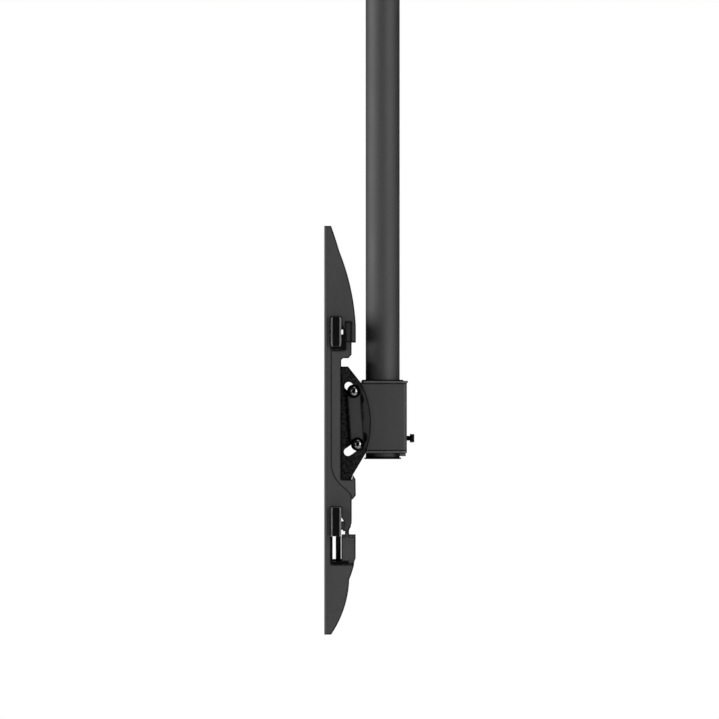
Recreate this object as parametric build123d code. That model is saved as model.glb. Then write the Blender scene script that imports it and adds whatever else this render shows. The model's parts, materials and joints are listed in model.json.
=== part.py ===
from build123d import *
import math
import os

# TV ceiling mount: a fixed pole, a clamp that swivels round its lower end,
# a tilt bracket with arc slots, a centre spine with two rails, and two arms
# that hook over the rails and carry the screen.
# The origin is the middle of the ceiling plate's upper face.
# Z is up, the screen is on the side of -Y, and X runs along the rails.

# Ceiling plate and socket
drop = 620.0
plate_side = 160.0
plate_thick = 5.0
plate_corner_radius = 14.0
anchor_pitch = 120.0
anchor_slot_width = 9.0
anchor_slot_length = 24.0
socket_wall = 4.0
socket_height = 75.0
socket_flange_diameter = 84.0
socket_flange_thick = 5.0
cross_bolt_diameter = 8.0
cross_bolt_depth = 24.0
cross_bolt_pitch = 26.0

# Pole
pole_diameter = 38.0
pole_wall = 2.5
pole_below_axis = 48.1
end_cap_diameter = 41.0
end_cap_thick = 1.7
end_cap_spigot = 12.0
groove_width = 8.6
groove_depth = 0.8

# Clamp that swivels round the pole, measured from the tilt axis
clamp_sheet = 3.0
clamp_half_width = 27.0
clamp_back = 26.9
clamp_top = 35.0
clamp_bottom = -40.7
clamp_front = -24.0
clamp_bend_radius = 4.0
clamp_cover_thick = 2.4
clamp_lid_overhang = 1.1
ear_radius = 7.5
tab_width = 7.0
tab_drop = 3.4
tab_inset = 8.0
bush_wall = 1.5
bush_flange = 2.4
bush_flange_thick = 1.2
bush_length = 5.6
lock_screw_diameter = 6.0
lock_nut_height = 4.0
lock_screw_below_axis = 26.5
lock_screw_standoff = 3.3

# Tilt: the screen turns about a line just behind its own back face
tilt_axis_reach = 63.8
tilt_forward_deg = 15.0
tilt_back_deg = 10.0
bolt_diameter = 8.0
dome_diameter = 13.0
dome_height = 4.8
dome_socket = 4.0
upper_bolt_radius = 40.8
upper_bolt_angle = 39.3
lower_bolt_radius = 48.8
lower_bolt_angle = -42.8
slot_play = 0.6
slot_margin_deg = 1.2
cheek_sheet = 3.0
friction_washer_thick = 0.9
friction_washer_diameter = 15.0
cheek_top = 70.5
cheek_bottom = -56.3
cheek_flat = 7.7
cheek_shoulder = (22.1, 52.3)
cheek_bow = (33.1, 11.0)
cheek_hip = (26.5, -27.5)
cheek_knee = (13.2, -49.7)
cheek_toe = 11.0
base_window_top = 58.0
base_window_bottom = -34.0
link_thick = 3.0
link_width = 15.0
washer_thick = 1.6
washer_diameter = 15.0
spacer_wall = 2.0

# Screen arms, measured from the front face and from the middle of the arm
arm_front_offset = 1.0
arm_centre_below_axis = 17.2
arm_half_height = 226.2
arm_sheet = 2.5
arm_width = 30.0
arm_spacing = 400.0
arm_bend_radius = 3.2
arm_tip_depth = 7.6
arm_waist_depth = 8.4
arm_depth = 34.9
lower_tooth_depth = 30.3
screen_hole_diameter = 9.0
screen_slot_length = 62.0
screen_hole_pitch = 100.0
tooth_drop = 28.1
hook_vee = 4.8
hook_lip = 4.8
hook_relief = 1.0
lower_tooth_drop = 26.6
lower_vee = 3.0
notch_drop = 63.6

# Rails
rail_length = 450.0
rail_height = 32.0
rail_depth = 11.0
rail_wall = 1.8
rail_corner_radius = 1.6
rail_pitch = 210.4
rail_front = 7.6
upper_rail_top = 125.0
cap_insert = 12.0
cap_face_thick = 1.4

# Spine between the rails
spine_half_width = 50.0
spine_sheet = 3.0
spine_front = 3.0
spine_ear_depth = 30.2
spine_ear_rise = 6.0
lower_ear_depth = 29.5
tab_top = -55.3
saddle_under = 4.3
saddle_thick = 12.0
saddle_back = 23.5
saddle_top_drop = 3.0
sight_back = 22.6
sight_drop = 11.5
sight_height = 5.2
bracket_screw_diameter = 6.0
bracket_screw_x = 15.0
bracket_screw_heights = (64.2, -46.0)

# Latch and its jack screw
latch_sheet = 2.0
latch_drop = 5.9
latch_lug_depth = 22.9
latch_lug_thick = 4.4
latch_lug_height = 5.3
latch_foot_thick = 3.2
latch_foot_back = 27.4
latch_leg_thick = 1.3
latch_travel = 28.0
jack_diameter = 6.0
jack_depth = 15.4
nut_plate_thick = 3.0
small_nut_across = 10.0
jam_nut_height = 3.0
weld_nut_height = 5.0

# Clearances
fit = 0.08
gap = 0.3
seat = 0.05

# Derived positions
axis_z = -drop
axis_y = -tilt_axis_reach
pole_radius = pole_diameter / 2
pole_bore = pole_radius - pole_wall
pole_bottom = axis_z - pole_below_axis
clamp_bore = pole_radius + fit + bush_wall + seat
arm_front = axis_y - arm_front_offset
arm_middle = axis_z - arm_centre_below_axis
lower_rail_top = upper_rail_top - rail_pitch
rail_back = rail_front + rail_depth
friction_out = clamp_half_width + friction_washer_thick
cheek_in = friction_out + gap
cheek_out = cheek_in + cheek_sheet
link_in = cheek_out + gap
link_out = link_in + link_thick
washer_out = link_out + washer_thick
bolt_radius = bolt_diameter / 2
lock_z = axis_z - lock_screw_below_axis
arm_half_width = arm_width / 2
SIDES = (("right", 1), ("left", -1))

os.makedirs("parts", exist_ok=True)


def save(name, shape):
    """Write one node; shape is a solid or a list of solids."""
    shapes = shape if isinstance(shape, list) else [shape]
    solids = [solid for item in shapes for solid in item.solids()]
    whole = solids[0] if len(solids) == 1 else Compound(children=solids)
    whole.label = name
    export_step(whole, f"parts/{name}.step")


def yz(sketch, x_from, x_to):
    """Extrude a side profile, drawn as (Y, Z), from one X to another."""
    low = min(x_from, x_to)
    return extrude(Plane.YZ.offset(low) * sketch, amount=abs(x_to - x_from))


def block(x, y, z):
    """A box given by its (low, high) limits along each axis."""
    size = (x[1] - x[0], y[1] - y[0], z[1] - z[0])
    middle = (sum(x) / 2, sum(y) / 2, sum(z) / 2)
    return Pos(*middle) * Box(*size)


def rod(start, direction, radius, length):
    """A round bar from a start point along a direction."""
    plane = Plane(origin=start, z_dir=direction)
    return extrude(plane * Circle(radius), amount=length)


def tube(start, direction, outer, inner, length):
    """A round tube from a start point along a direction."""
    plane = Plane(origin=start, z_dir=direction)
    return extrude(plane * (Circle(outer) - Circle(inner)), amount=length)


def hexagon(start, direction, across_flats, length, hole=0.0):
    """A hexagonal prism, bored for a nut."""
    plane = Plane(origin=start, z_dir=direction)
    face = RegularPolygon(across_flats / 2, 6, major_radius=False)
    if hole:
        face -= Circle(hole)
    return extrude(plane * face, amount=length)


def socket_screw(seat_point, direction, diameter, length, head_height=None):
    """A cap screw: the head stands on seat_point and the shank runs along direction."""
    away = tuple(-value for value in direction)
    head_radius = diameter * 0.81
    head_height = head_height or diameter
    head = rod(seat_point, away, head_radius, head_height)
    head = chamfer(head.edges().sort_by(Axis(seat_point, away))[-1], diameter * 0.08)
    top = tuple(p + a * head_height for p, a in zip(seat_point, away))
    recess = hexagon(top, direction, diameter * 0.75, head_height * 0.55)
    return head + rod(seat_point, direction, diameter / 2, length) - recess


def dome_screw(seat_point, direction, diameter, length):
    """A button head screw: a domed head with a small hexagon socket."""
    away = tuple(-value for value in direction)
    rim = dome_diameter / 2
    ball = (rim ** 2 + dome_height ** 2) / (2 * dome_height)
    half_turn = math.acos(1 - dome_height / ball) / 2
    middle = (ball * math.sin(half_turn), 0, dome_height - ball + ball * math.cos(half_turn))
    profile = Wire([
        Line((0, 0, 0), (rim, 0, 0)),
        ThreePointArc((rim, 0, 0), middle, (0, 0, dome_height)),
        Line((0, 0, dome_height), (0, 0, 0)),
    ])
    head = Plane(origin=seat_point, z_dir=away) * revolve(make_face(profile), Axis.Z)
    top = tuple(p + a * dome_height for p, a in zip(seat_point, away))
    recess = hexagon(top, direction, dome_socket, dome_height * 0.6)
    return head + rod(seat_point, direction, diameter / 2, length) - recess


def bolt_point(radius, angle):
    """A point at a radius and angle about the tilt axis, as (Y, Z)."""
    turn = math.radians(angle)
    return (axis_y + radius * math.cos(turn), axis_z + radius * math.sin(turn))


upper_bolt = bolt_point(upper_bolt_radius, upper_bolt_angle)
lower_bolt = bolt_point(lower_bolt_radius, lower_bolt_angle)
BOLTS = (upper_bolt, lower_bolt)


def at(depth, height):
    """A point of an arm or the spine, by depth behind the arm's front and height."""
    return (arm_front + depth, arm_middle + height)


def outline(*points):
    """A closed face through (depth, height) points."""
    return make_face(Polyline(*[at(*point) for point in points], close=True))


# Ceiling plate
def ceiling_plate():
    face = RectangleRounded(plate_side, plate_side, plate_corner_radius)
    half = anchor_pitch / 2
    for x, y in ((half, half), (-half, half), (-half, -half), (half, -half)):
        face -= Pos(x, y) * SlotOverall(anchor_slot_length, anchor_slot_width)
    return extrude(Pos(0, 0, -plate_thick) * face, amount=plate_thick)


def cross_bolt_seats():
    """Height and direction of the two bolts through socket and pole."""
    top = -plate_thick - cross_bolt_depth
    return ((top, (1, 0, 0)), (top - cross_bolt_pitch, (0, 1, 0)))


def pole_socket():
    outer = pole_radius + fit + socket_wall
    top = (0, 0, -plate_thick)
    body = rod(top, (0, 0, -1), socket_flange_diameter / 2, socket_flange_thick)
    body += rod(top, (0, 0, -1), outer, socket_height)
    body -= rod(top, (0, 0, -1), pole_radius + fit, socket_height)
    for z, direction in cross_bolt_seats():
        start = tuple(-outer * 2 * value for value in direction[:2]) + (z,)
        body -= rod(start, direction, cross_bolt_diameter / 2 + 0.2, outer * 4)
    return body


def socket_bolts():
    """Two cross bolts, each with its nut at the far side of the socket."""
    outer = pole_radius + fit + socket_wall
    bolts, nuts = [], []
    nut_height = cross_bolt_diameter * 0.8
    for z, direction in cross_bolt_seats():
        away = tuple(-value for value in direction)
        start = tuple(outer * value for value in direction[:2]) + (z,)
        length = outer * 2 + nut_height + 2.5
        bolts.append(socket_screw(start, away, cross_bolt_diameter, length))
        nut_seat = tuple(-outer * value for value in direction[:2]) + (z,)
        hole = cross_bolt_diameter / 2 + seat
        nuts.append(hexagon(nut_seat, away, cross_bolt_diameter * 1.62, nut_height, hole))
    return bolts, nuts


# Pole
def pole():
    top = -plate_thick
    body = tube((0, 0, top), (0, 0, -1), pole_radius, pole_bore, top - pole_bottom)
    groove_top = (0, 0, lock_z + groove_width / 2)
    body -= tube(groove_top, (0, 0, -1), pole_radius + 1, pole_radius - groove_depth, groove_width)
    for z, direction in cross_bolt_seats():
        start = tuple(-pole_diameter * value for value in direction[:2]) + (z,)
        body -= rod(start, direction, cross_bolt_diameter / 2 + 0.2, pole_diameter * 2)
    return body


def pole_end_cap():
    bottom = (0, 0, pole_bottom)
    cap = rod(bottom, (0, 0, -1), end_cap_diameter / 2, end_cap_thick)
    cap += tube(bottom, (0, 0, 1), pole_bore - seat, pole_bore - seat - 2, end_cap_spigot)
    return cap


# Clamp that swivels on the pole
def clamp_side_face():
    """One side of the clamp: the box behind and two ears in front."""
    top = axis_z + clamp_top
    bottom = axis_z + clamp_bottom
    box = Polyline(
        (clamp_front, top), (clamp_back, top), (clamp_back, bottom), (clamp_front, bottom),
        close=True,
    )
    ears = [Pos(*point) * Circle(ear_radius) for point in BOLTS]
    edges = list(box.edges())
    for ear in ears:
        edges += list(ear.edges())
    return make_hull(edges)


def pole_clamp():
    top = axis_z + clamp_top
    bottom = axis_z + clamp_bottom
    half = clamp_half_width
    side = clamp_side_face()
    body = yz(side, -half, half)
    corners = body.edges().filter_by(Axis.Z).sort_by(Axis.Y)[-2:]
    body = fillet(corners, clamp_bend_radius)
    inner = half - clamp_sheet
    body -= block(
        (-inner, inner), (axis_y, clamp_back - clamp_sheet), (bottom - 1, top + 1)
    )
    for level in (bottom, top - clamp_sheet):
        body += block(
            (-inner, inner), (clamp_front + 1, clamp_back - clamp_sheet), (level, level + clamp_sheet)
        )
    body -= rod((0, 0, bottom - 1), (0, 0, 1), clamp_bore, top - bottom + 2)
    for y, z in BOLTS:
        body -= rod((-half - 1, y, z), (1, 0, 0), bolt_radius + 0.2, half * 2 + 2)
    body -= rod((0, clamp_back + 1, lock_z), (0, -1, 0), lock_screw_diameter / 2 + seat, clamp_sheet + 2)
    return body


def clamp_cover(z, back):
    """A moulded plate with rounded corners that lies on one end of the clamp."""
    half = clamp_half_width
    cover = block((-half, half), (clamp_front, back), (z, z + clamp_cover_thick))
    cover = fillet(cover.edges().filter_by(Axis.Z), clamp_bend_radius)
    return cover - rod((0, 0, z - 1), (0, 0, 1), clamp_bore, clamp_cover_thick + 2)


def clamp_floor():
    """The lower cover, with a lug behind the pole."""
    low = axis_z + clamp_bottom - clamp_cover_thick
    tab_back = clamp_back - 1.2
    half = clamp_half_width - tab_inset
    tab = block((-half, half), (tab_back - tab_width, tab_back), (low - tab_drop, low))
    tab -= rod((0, 0, low - tab_drop - 1), (0, 0, 1), end_cap_diameter / 2 + gap, tab_drop + 2)
    return clamp_cover(low, clamp_back) + tab


def pole_bush(seat_z):
    """A flanged sleeve that hangs from one level of the clamp, round the pole."""
    inner = pole_radius + fit
    outer = inner + bush_wall
    wide = outer + bush_flange
    flange = tube((0, 0, seat_z), (0, 0, 1), wide, inner, bush_flange_thick)
    return flange + tube((0, 0, seat_z), (0, 0, -1), outer, inner, bush_length)


def lock_screw():
    seat_y = clamp_back + lock_screw_standoff
    tip = pole_radius - groove_depth + gap
    return socket_screw((0, seat_y, lock_z), (0, -1, 0), lock_screw_diameter, seat_y - tip, 5.0)


def lock_nut():
    face = clamp_back - clamp_sheet
    hole = lock_screw_diameter / 2 + seat
    return hexagon((0, face, lock_z), (0, -1, 0), small_nut_across, lock_nut_height, hole)


# Tilt pivot hardware
def link_plate(side):
    """A slim plate that ties both tilt bolts together outside the cheek."""
    (y1, z1), (y2, z2) = BOLTS
    span = math.hypot(y2 - y1, z2 - z1)
    turn = math.degrees(math.atan2(z2 - z1, y2 - y1))
    face = Pos((y1 + y2) / 2, (z1 + z2) / 2) * Rot(0, 0, turn) * SlotCenterToCenter(span, link_width)
    for point in BOLTS:
        face -= Pos(*point) * Circle(bolt_radius + 0.15)
    return yz(face, side * link_in, side * link_out)


def tilt_bolt(point):
    """A through bolt with its head on the right and its nut on the left."""
    y, z = point
    length = washer_out * 2 + bolt_diameter * 0.8 + 2
    return dome_screw((washer_out, y, z), (-1, 0, 0), bolt_diameter, length)


def tilt_nuts():
    height = bolt_diameter * 0.8
    across = bolt_diameter * 1.62
    hole = bolt_radius + seat
    return [hexagon((-washer_out, y, z), (-1, 0, 0), across, height, hole) for y, z in BOLTS]


def tilt_rings(outer, x_in, x_out):
    """A ring round each bolt on both sides."""
    rings = []
    for y, z in BOLTS:
        for _, side in SIDES:
            start = (side * x_in, y, z)
            rings.append(tube(start, (side, 0, 0), outer, bolt_radius + 0.15, x_out - x_in))
    return rings


def tilt_spacers():
    inner = clamp_half_width - clamp_sheet
    outer = bolt_radius + 0.15 + spacer_wall
    return [tube((-inner, y, z), (1, 0, 0), outer, bolt_radius + 0.15, inner * 2) for y, z in BOLTS]


# Tilt bracket
def arc_slot(radius, angle):
    """The path that one bolt makes in the cheek as the screen tilts."""
    start = angle - tilt_forward_deg - slot_margin_deg
    sweep = tilt_forward_deg + tilt_back_deg + 2 * slot_margin_deg
    path = CenterArc((axis_y, axis_z), radius, start, sweep)
    return SlotArc(path, bolt_diameter + 2 * slot_play)


def cheek_face():
    """Side of the tilt bracket: flat at the spine, bowed at the back."""
    base = rail_back
    top = at(base + cheek_flat, cheek_top)
    shoulder, bow, hip, knee = [
        at(base + depth, height)
        for depth, height in (cheek_shoulder, cheek_bow, cheek_hip, cheek_knee)
    ]
    toe = at(base + cheek_toe, cheek_bottom)
    shape = [
        Line(at(base, cheek_top), top),
        Line(top, shoulder),
        ThreePointArc(shoulder, bow, hip),
        Line(hip, knee),
        Line(knee, toe),
        Line(toe, at(base, cheek_bottom)),
        Line(at(base, cheek_bottom), at(base, cheek_top)),
    ]
    face = make_face(Wire(shape))
    face -= arc_slot(upper_bolt_radius, upper_bolt_angle)
    face -= arc_slot(lower_bolt_radius, lower_bolt_angle)
    return face


def tilt_bracket():
    """A folded bracket: a windowed base on the spine and two slotted cheeks."""
    face = cheek_face()
    body = yz(face, cheek_in, cheek_out) + yz(face, -cheek_out, -cheek_in)
    base_y = arm_front + rail_back
    limits = (arm_middle + cheek_bottom, arm_middle + cheek_top)
    base = block((-cheek_in, cheek_in), (base_y, base_y + cheek_sheet), limits)
    window = (arm_middle + base_window_bottom, arm_middle + base_window_top)
    base -= block((-cheek_in, cheek_in), (base_y - 1, base_y + cheek_sheet + 1), window)
    body += base
    for x, z in bracket_screw_seats():
        hole = bracket_screw_diameter / 2 + 0.2
        body -= rod((x, base_y - 1, z), (0, 1, 0), hole, cheek_sheet + 2)
    return body


def bracket_screw_seats():
    """Places of the four screws between tilt bracket and spine, as (X, Z)."""
    xs = (bracket_screw_x, -bracket_screw_x)
    return [(x, arm_middle + h) for h in bracket_screw_heights for x in xs]


def bracket_screws():
    base_y = arm_front + rail_back + cheek_sheet
    length = cheek_sheet + spine_sheet + 1.5
    size = bracket_screw_diameter
    return [
        socket_screw((x, base_y, z), (0, -1, 0), size, length, 3.3)
        for x, z in bracket_screw_seats()
    ]


# Spine
def rail_pocket(top):
    """The hole that a rail just fits, with the rail's own corners."""
    centre = at(rail_front + rail_depth / 2, top - rail_height / 2)
    corner = rail_corner_radius + seat
    return Pos(*centre) * RectangleRounded(rail_depth + 2 * seat, rail_height + 2 * seat, corner)


def spine_side_face():
    """Side of the spine, with one ear round each rail."""
    top = upper_rail_top + spine_ear_rise
    ear_back = spine_ear_depth
    floor = upper_rail_top - rail_height - saddle_under
    lobe = floor - 9.0
    low = lower_rail_top - lower_tooth_drop + 0.8
    face = outline(
        (spine_front, top), (ear_back - 6, top), (ear_back, top - 7),
        (ear_back, lobe + 4), (ear_back - 3.5, lobe), (rail_back + 2, lobe),
        (rail_back, lobe - 2), (rail_back, tab_top), (arm_depth - 4.2, tab_top),
        (arm_depth - 3.1, tab_top + 4.8), (arm_depth - 0.3, tab_top), (arm_depth, tab_top - 17.7),
        (arm_depth - 3.6, tab_top - 22.1), (lower_ear_depth, tab_top - 22.1),
        (lower_ear_depth, low + 4), (lower_ear_depth - 2, low), (spine_front, low),
    )
    saddle_room = outline(
        (rail_front, upper_rail_top - saddle_top_drop), (saddle_back, upper_rail_top - saddle_top_drop),
        (saddle_back, floor), (rail_front - seat, floor),
    )
    sight_top = lower_rail_top - sight_drop
    sight = outline(
        (rail_back, sight_top), (sight_back, sight_top),
        (sight_back, sight_top - sight_height), (rail_back, sight_top - sight_height),
    )
    half_way = lower_rail_top - rail_height / 2
    foot = outline(
        (rail_front - seat, half_way), (rail_back + seat, half_way),
        (rail_back + seat, low - 1), (rail_front - seat, low - 1),
    )
    return face - rail_pocket(upper_rail_top) - saddle_room - rail_pocket(lower_rail_top) - foot - sight


def spine():
    face = spine_side_face()
    half = spine_half_width
    inner = half - spine_sheet
    body = yz(face, inner, half) + yz(face, -half, -inner)
    web_y = arm_front + rail_back - spine_sheet
    web_top = upper_rail_top - rail_height - saddle_under - 3.0
    web_low = lower_rail_top + 6.0
    web = block((-half, half), (web_y, web_y + spine_sheet), (arm_middle + web_low, arm_middle + web_top))
    body += web
    for x, z in bracket_screw_seats():
        body -= rod((x, web_y - 1, z), (0, 1, 0), bracket_screw_diameter / 2 + seat, spine_sheet + 2)
    return body


def saddles():
    """Moulded blocks that seat the upper rail in the two ears, with a small relief behind it."""
    low = upper_rail_top - rail_height - saddle_under + seat
    high = upper_rail_top - saddle_top_drop - seat
    sight_top = upper_rail_top - sight_drop - 2.0
    face = outline(
        (rail_front, low), (saddle_back - seat, low), (saddle_back - seat, high), (rail_front, high),
    )
    face -= rail_pocket(upper_rail_top)
    face -= outline(
        (rail_front, upper_rail_top - rail_height / 2), (rail_back, upper_rail_top - rail_height / 2),
        (rail_back, high + 1), (rail_front, high + 1),
    )
    sight_edge = sight_back - 1.9
    face -= outline(
        (rail_back, sight_top), (sight_edge, sight_top),
        (sight_edge, sight_top - sight_height), (rail_back, sight_top - sight_height),
    )
    middle = spine_half_width - spine_sheet / 2
    half = saddle_thick / 2
    return [yz(face, side * (middle - half), side * (middle + half)) for _, side in SIDES]


# Rails
def rail(top):
    """A rectangular tube with rounded corners."""
    centre = at(rail_front + rail_depth / 2, top - rail_height / 2)
    outer = RectangleRounded(rail_depth, rail_height, rail_corner_radius)
    bore_radius = max(rail_corner_radius - rail_wall, 0.4)
    bore = RectangleRounded(rail_depth - 2 * rail_wall, rail_height - 2 * rail_wall, bore_radius)
    return yz(Pos(*centre) * (outer - bore), -rail_length / 2, rail_length / 2)


def rail_cap(top, side):
    """A plug in a rail's end; its narrow face leaves the side walls bare."""
    centre = at(rail_front + rail_depth / 2, top - rail_height / 2)
    width = rail_depth - 2 * rail_wall - 2 * seat
    face = Pos(*centre) * RectangleRounded(width, rail_height, 0.8)
    end = rail_length / 2
    plug_height = rail_height - 2 * rail_wall - 2 * seat
    plug = Pos(*centre) * RectangleRounded(width, plug_height, 0.4)
    return yz(face, side * end, side * (end + cap_face_thick)) + yz(
        plug, side * (end - cap_insert), side * end
    )


# Arms
def arm_face():
    """Side of an arm: two bowed halves with a hook over each rail."""
    upper_top = upper_rail_top + gap
    lower_top = lower_rail_top + gap
    front = rail_front - gap
    back = rail_back + gap
    tooth_tip = upper_top - tooth_drop
    low_tip = lower_top - lower_tooth_drop
    notch = lower_top - notch_drop
    rail_foot = upper_rail_top - rail_height - gap
    vee = back + hook_vee
    half = arm_half_height
    head = half - tooth_tip
    tail = half + notch
    brow = at(arm_depth * 0.481, half - head * 0.219)
    shoulder = at(arm_depth, half - head * 0.85)
    heel = at(arm_depth * 0.794, notch - tail * 0.21)
    tip = at(arm_tip_depth, half)
    toe = at(arm_tip_depth, -half)
    edges = [
        Line(at(0, -half), at(0, half)),
        Line(at(0, half), tip),
        ThreePointArc(tip, at(arm_depth * 0.364, half - head * 0.1155), brow),
        ThreePointArc(brow, at(arm_depth * 0.825, half - head * 0.5155), shoulder),
        Line(shoulder, at(arm_depth, tooth_tip)),
        Line(at(arm_depth, tooth_tip), at(vee, tooth_tip)),
        Line(at(vee, tooth_tip), at(vee, upper_top - 17.6)),
        Line(at(vee, upper_top - 17.6), at(back, upper_top - 8.0)),
        Line(at(back, upper_top - 8.0), at(back, upper_top)),
        Line(at(back, upper_top), at(front, upper_top)),
        Line(at(front, upper_top), at(front, rail_foot)),
        Line(at(front, rail_foot), at(arm_waist_depth, rail_foot - 6.0)),
        Line(at(arm_waist_depth, rail_foot - 6.0), at(arm_waist_depth, -38.6)),
        ThreePointArc(at(arm_waist_depth, -38.6), at(12.4, -52.0), at(18.9, -60.2)),
        Line(at(18.9, -60.2), at(lower_tooth_depth - 2.6, -68.2)),
        ThreePointArc(
            at(lower_tooth_depth - 2.6, -68.2), at(lower_tooth_depth - 0.7, -70.2),
            at(lower_tooth_depth, -73.0),
        ),
        Line(at(lower_tooth_depth, -73.0), at(lower_tooth_depth, low_tip + 8.9)),
        Line(at(lower_tooth_depth, low_tip + 8.9), at(lower_tooth_depth - 3.5, low_tip)),
        Line(at(lower_tooth_depth - 3.5, low_tip), at(back + 1.6, low_tip)),
        Line(at(back + 1.6, low_tip), at(back + lower_vee, lower_top - 16.0)),
        Line(at(back + lower_vee, lower_top - 16.0), at(back, lower_top - 11.4)),
        Line(at(back, lower_top - 11.4), at(back, lower_top)),
        Line(at(back, lower_top), at(front, lower_top)),
        Line(at(front, lower_top), at(front, notch)),
        Line(at(front, notch), at(arm_depth * 0.946, notch)),
        ThreePointArc(
            at(arm_depth * 0.946, notch), at(arm_depth * 0.888, notch - tail * 0.097), heel
        ),
        ThreePointArc(heel, at(arm_depth * 0.685, notch - tail * 0.539), toe),
        Line(toe, at(0, -half)),
    ]
    return make_face(Wire(edges))


def screen_openings():
    """Round holes at whole steps from the middle and a long slot between each two."""
    openings = []
    for step in range(-2, 3):
        openings.append((step * screen_hole_pitch, Circle(screen_hole_diameter / 2)))
    slot = SlotOverall(screen_slot_length, screen_hole_diameter, rotation=90)
    for step in range(-2, 2):
        openings.append(((step + 0.5) * screen_hole_pitch, slot))
    return openings


def hook_coining(face):
    """The shallow step pressed into a hook, which leaves a lip at its back edge."""
    top = upper_rail_top - 5.0
    tip = upper_rail_top - tooth_drop
    return block(
        (face - hook_relief, face + hook_relief),
        (arm_front + rail_back + hook_vee, arm_front + arm_depth - hook_lip),
        (arm_middle + tip - 1, arm_middle + top),
    )


def arm(side):
    """A folded channel: a slotted front web and two hooked sides."""
    middle = side * arm_spacing / 2
    body = yz(arm_face(), middle - arm_half_width, middle + arm_half_width)
    front_edges = body.edges().filter_by(Axis.Z).group_by(Axis.Y)[0]
    body = fillet(front_edges, arm_bend_radius)
    inner = arm_half_width - arm_sheet
    body -= block(
        (middle - inner, middle + inner),
        (arm_front + arm_sheet, arm_front + arm_depth + 1),
        (arm_middle - arm_half_height - 1, arm_middle + arm_half_height + 1),
    )
    for height, opening in screen_openings():
        start = (middle, arm_front - 1, arm_middle + height)
        plane = Plane(origin=start, x_dir=(1, 0, 0), z_dir=(0, 1, 0))
        body -= extrude(plane * opening, amount=arm_sheet + 2)
    for face in (middle - arm_half_width, middle + arm_half_width):
        body -= hook_coining(face)
    return body


def notch_height():
    return lower_rail_top + gap - notch_drop


def latch_foot_top():
    return notch_height() + gap + latch_foot_thick


def nut_plate_height():
    """Top of the cross plate that the jack screw turns in."""
    return notch_height() - latch_travel - jam_nut_height - 1.0


def nut_plate(side):
    """A cross plate between the arm's sides."""
    middle = side * arm_spacing / 2
    inner = arm_half_width - arm_sheet
    top = arm_middle + nut_plate_height()
    plate = block(
        (middle - inner, middle + inner),
        (arm_front + arm_sheet, arm_front + 24.0),
        (top - nut_plate_thick, top),
    )
    start = (middle, arm_front + jack_depth, top + 1)
    return plate - rod(start, (0, 0, -1), jack_diameter / 2 + gap, nut_plate_thick + 2)


def plate_nut(side):
    """The nut welded under the cross plate."""
    middle = side * arm_spacing / 2
    top = arm_middle + nut_plate_height() - nut_plate_thick
    start = (middle, arm_front + jack_depth, top)
    return hexagon(start, (0, 0, -1), small_nut_across, weld_nut_height, jack_diameter / 2 + fit)


# Latch
def latch(side):
    """A folded cover that closes the notch behind and below the lower rail."""
    middle = side * arm_spacing / 2
    half = arm_half_width - arm_sheet - gap
    front = rail_back + gap
    back = arm_depth - 0.2
    top = lower_rail_top + gap - lower_tooth_drop - latch_drop
    low = latch_foot_top()
    floor = notch_height() + gap
    behind_foot = latch_foot_back + gap
    face = outline(
        (front, top), (back, top), (back, low + 3.4), (back - 1.4, low),
        (back - 1.8, floor), (behind_foot, floor), (behind_foot, low), (front, low),
    )
    lug_back = latch_lug_depth + latch_lug_thick
    face += outline(
        (latch_lug_depth, top - 1), (latch_lug_depth, top + latch_lug_height),
        (lug_back, top + latch_lug_height), (lug_back, top - 1),
    )
    body = yz(face, middle - half, middle + half)
    body -= block(
        (middle - half + latch_sheet, middle + half - latch_sheet),
        (arm_front + front - 1, arm_front + back - latch_sheet),
        (arm_middle + floor - 1, arm_middle + top - latch_sheet),
    )
    return body


def latch_foot(side):
    """The thick foot that carries the latch, with a thin leg in front of the jack screw."""
    middle = side * arm_spacing / 2
    half = arm_half_width - arm_sheet - gap
    low = arm_middle + notch_height() + gap
    top = arm_middle + latch_foot_top()
    front = arm_front + rail_front
    foot = block((middle - half, middle + half), (front, arm_front + latch_foot_back), (low, top))
    leg_top = arm_middle + lower_rail_top - rail_height - gap
    foot += block((middle - half, middle + half), (front, front + latch_leg_thick), (low, leg_top))
    start = (middle, arm_front + jack_depth, low - 1)
    return foot - rod(start, (0, 0, 1), jack_diameter / 2 + seat, latch_foot_thick + 2)


def jack_screw(side):
    """The long screw that raises the latch and stands under the lower rail."""
    middle = side * arm_spacing / 2
    top = arm_middle + lower_rail_top - rail_height - gap
    seat_z = arm_middle + nut_plate_height() - nut_plate_thick - weld_nut_height - 2.0
    start = (middle, arm_front + jack_depth, seat_z)
    return socket_screw(start, (0, 0, 1), jack_diameter, top - seat_z)


def jam_nut(side):
    """The nut that holds the latch's foot on the jack screw."""
    middle = side * arm_spacing / 2
    low = arm_middle + notch_height() + gap
    start = (middle, arm_front + jack_depth, low)
    return hexagon(start, (0, 0, -1), small_nut_across, jam_nut_height, jack_diameter / 2 + seat)


save("ceiling_plate", ceiling_plate())
save("pole_socket", pole_socket())
cross_bolts, cross_nuts = socket_bolts()
save("socket_bolts", cross_bolts)
save("socket_nuts", cross_nuts)
save("pole", pole())
save("pole_end_cap", pole_end_cap())
save("pole_clamp", pole_clamp())
save("clamp_lid", clamp_cover(axis_z + clamp_top, clamp_back + clamp_lid_overhang))
save("clamp_floor", clamp_floor())
save("upper_bush", pole_bush(axis_z + clamp_top + clamp_cover_thick))
save("lower_bush", pole_bush(axis_z + clamp_bottom + clamp_sheet))
save("swivel_lock_screw", lock_screw())
save("swivel_lock_nut", lock_nut())
save("upper_tilt_bolt", tilt_bolt(upper_bolt))
save("lower_tilt_bolt", tilt_bolt(lower_bolt))
save("tilt_nuts", tilt_nuts())
save("tilt_washers", tilt_rings(washer_diameter / 2, link_out, washer_out))
save("friction_washers", tilt_rings(friction_washer_diameter / 2, clamp_half_width, friction_out))
save("tilt_spacers", tilt_spacers())
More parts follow.
